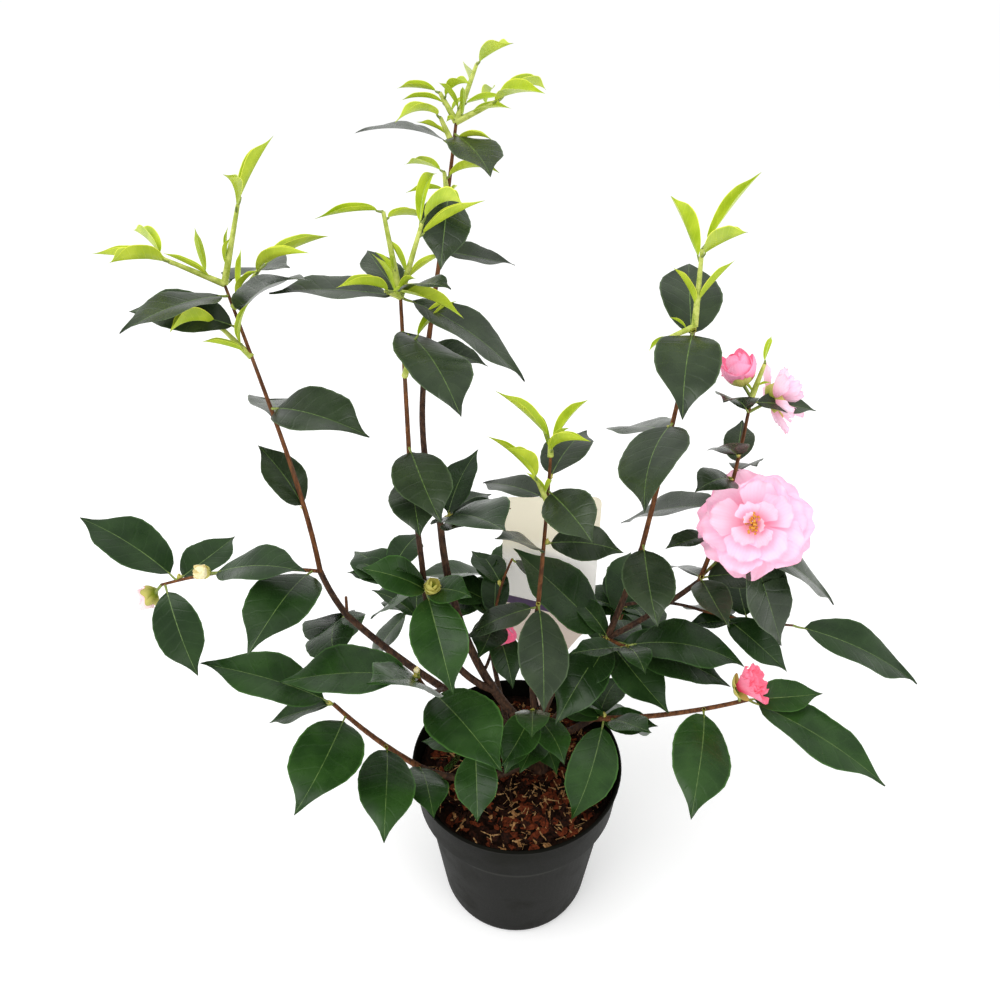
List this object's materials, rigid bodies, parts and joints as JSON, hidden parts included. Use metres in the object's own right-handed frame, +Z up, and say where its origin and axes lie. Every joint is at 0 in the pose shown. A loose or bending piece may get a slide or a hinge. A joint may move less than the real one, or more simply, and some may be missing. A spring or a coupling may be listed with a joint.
{
  "type": "camellia shrub in a pot",
  "caption": "Young open-branched evergreen shrub with glossy leaves, pink double blooms and buds, in a round nursery pot with a blank care label.",
  "frame": {"origin": "centre of the pot's flat underside", "axes": "+Z up, +X to the shrub's right and -Y towards its front, where the open bloom faces"},
  "size_m": [0.6857, 0.3442, 0.73],
  "materials": {
    "pot": "matte moulded charcoal plastic",
    "soil": "rough bark chips and fibres",
    "label": "smooth blank card with a muted band",
    "bark": "fine fissured reddish brown bark",
    "foliage": "leathery dark green leaves with a soft gloss",
    "young_leaf": "soft bright yellow-green young leaves",
    "blossom": "thin satin pale pink petals"
  },
  "bodies": {
    "root": {"pot": "pot", "soil": "soil", "care_label": "label", "trunk": "bark", "right_bough": "bark", "right_tall_bough": "bark", "flower_bough": "bark", "right_side_bough": "bark", "right_low_bough": "bark", "left_bough": "bark", "left_tall_bough": "bark", "left_low_bough": "bark", "left_short_bough": "bark", "back_bough": "bark", "back_tall_bough": "bark", "centre_left_bough": "bark", "centre_left_tall_bough": "bark", "centre_bough": "bark", "inner_bough": "bark", "front_left_bough": "bark", "rear_right_bough": "bark", "rear_left_bough": "bark", "rear_centre_bough": "bark", "left_tall_foliage": "foliage", "left_side_foliage": "foliage", "left_fork_foliage": "foliage", "left_short_foliage": "foliage", "left_low_foliage": "foliage", "front_left_foliage": "foliage", "front_foliage": "foliage", "centre_left_low_foliage": "foliage", "centre_left_foliage": "foliage", "back_middle_foliage": "foliage", "back_tall_foliage": "foliage", "centre_foliage": "foliage", "inner_foliage": "foliage", "right_fork_foliage": "foliage", "right_tall_foliage": "foliage", "flower_foliage": "foliage", "right_side_foliage": "foliage", "right_low_foliage": "foliage", "rear_right_foliage": "foliage", "rear_left_foliage": "foliage", "rear_centre_foliage": "foliage"}
  },
  "joints": []
}
